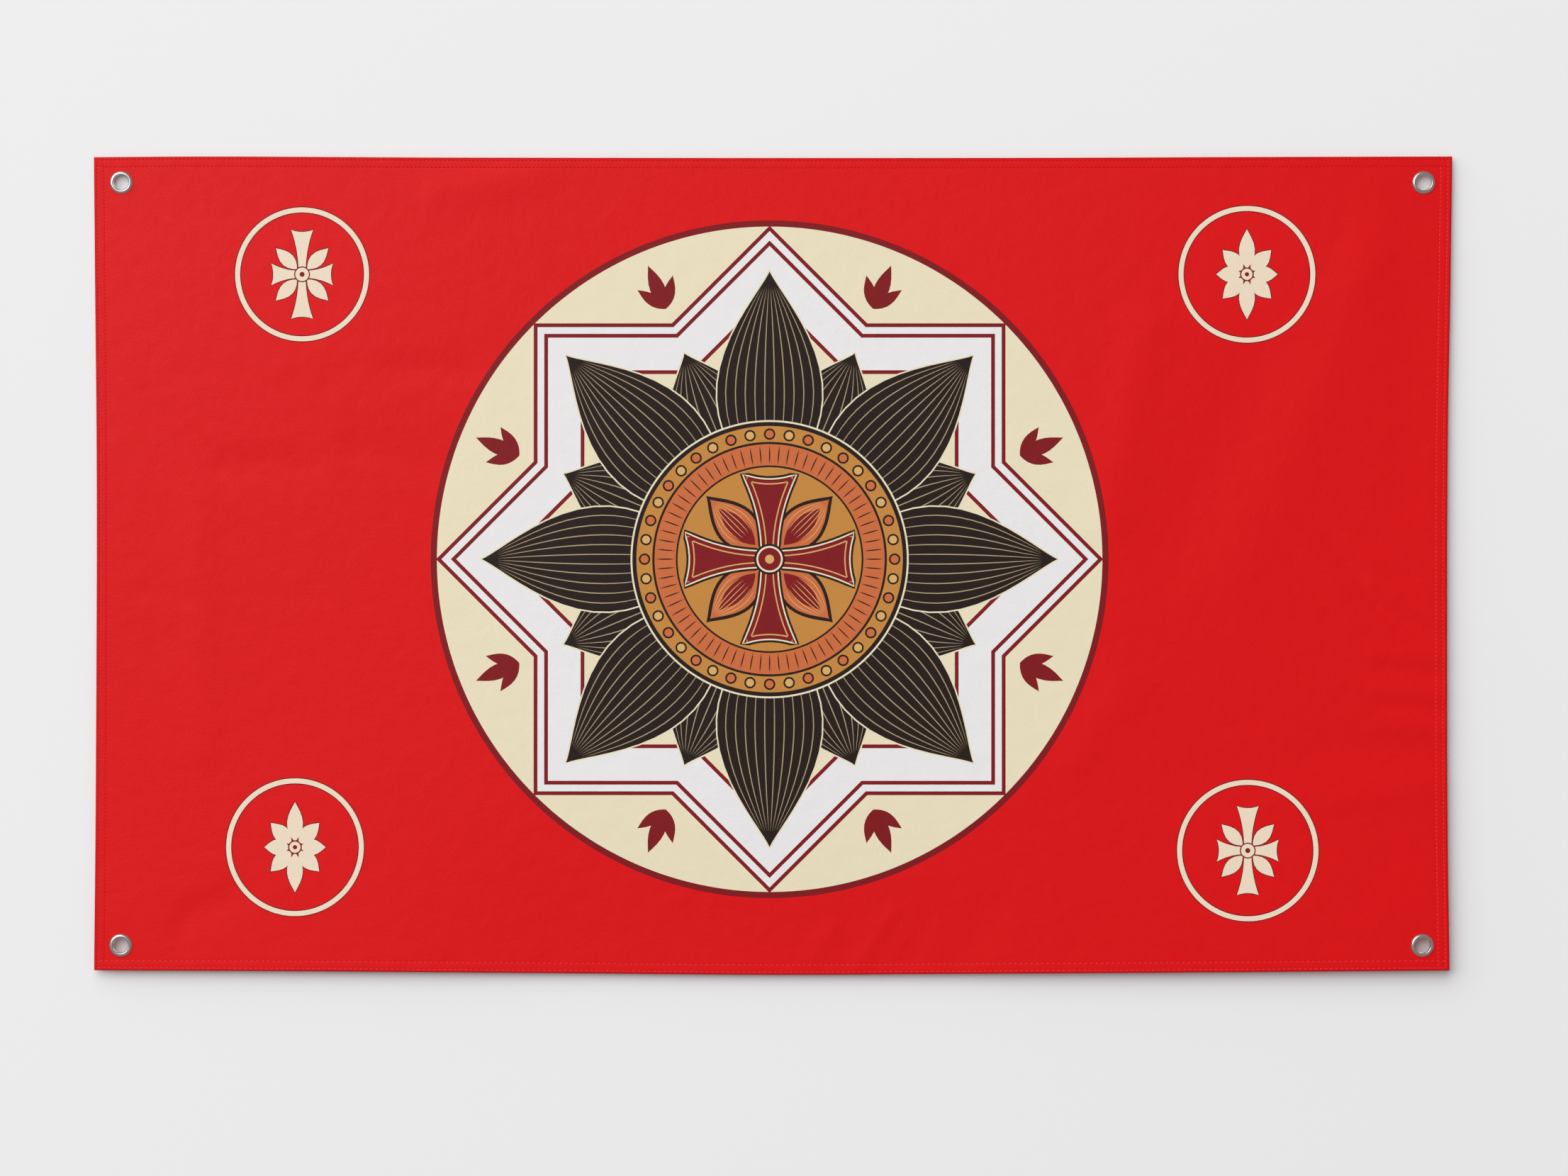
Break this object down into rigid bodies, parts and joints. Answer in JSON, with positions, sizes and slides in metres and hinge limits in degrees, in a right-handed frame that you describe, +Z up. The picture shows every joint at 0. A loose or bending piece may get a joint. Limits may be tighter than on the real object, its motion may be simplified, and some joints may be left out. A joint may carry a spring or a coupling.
{
  "type": "religious flag",
  "caption": "Wide cloth flag hung flat on a wall, with a sewn hem, soft folds and a metal eyelet in each corner.",
  "frame": {"origin": "on the wall plane, at the middle of the flag's top edge", "axes": "+X to the viewer's right along the top edge, +Y into the wall, +Z up; the printed front faces -Y"},
  "size_m": [1.5, 0.0127, 0.9035],
  "materials": {
    "cloth": "printed woven polyester, satin-matt",
    "eyelet_metal": "bright nickel plate"
  },
  "bodies": {
    "root": {"flag_cloth": "cloth", "eyelet_top_left": "eyelet_metal", "eyelet_top_right": "eyelet_metal", "eyelet_bottom_left": "eyelet_metal", "eyelet_bottom_right": "eyelet_metal", "washer_top_left": "eyelet_metal", "washer_top_right": "eyelet_metal", "washer_bottom_left": "eyelet_metal", "washer_bottom_right": "eyelet_metal"}
  },
  "joints": []
}
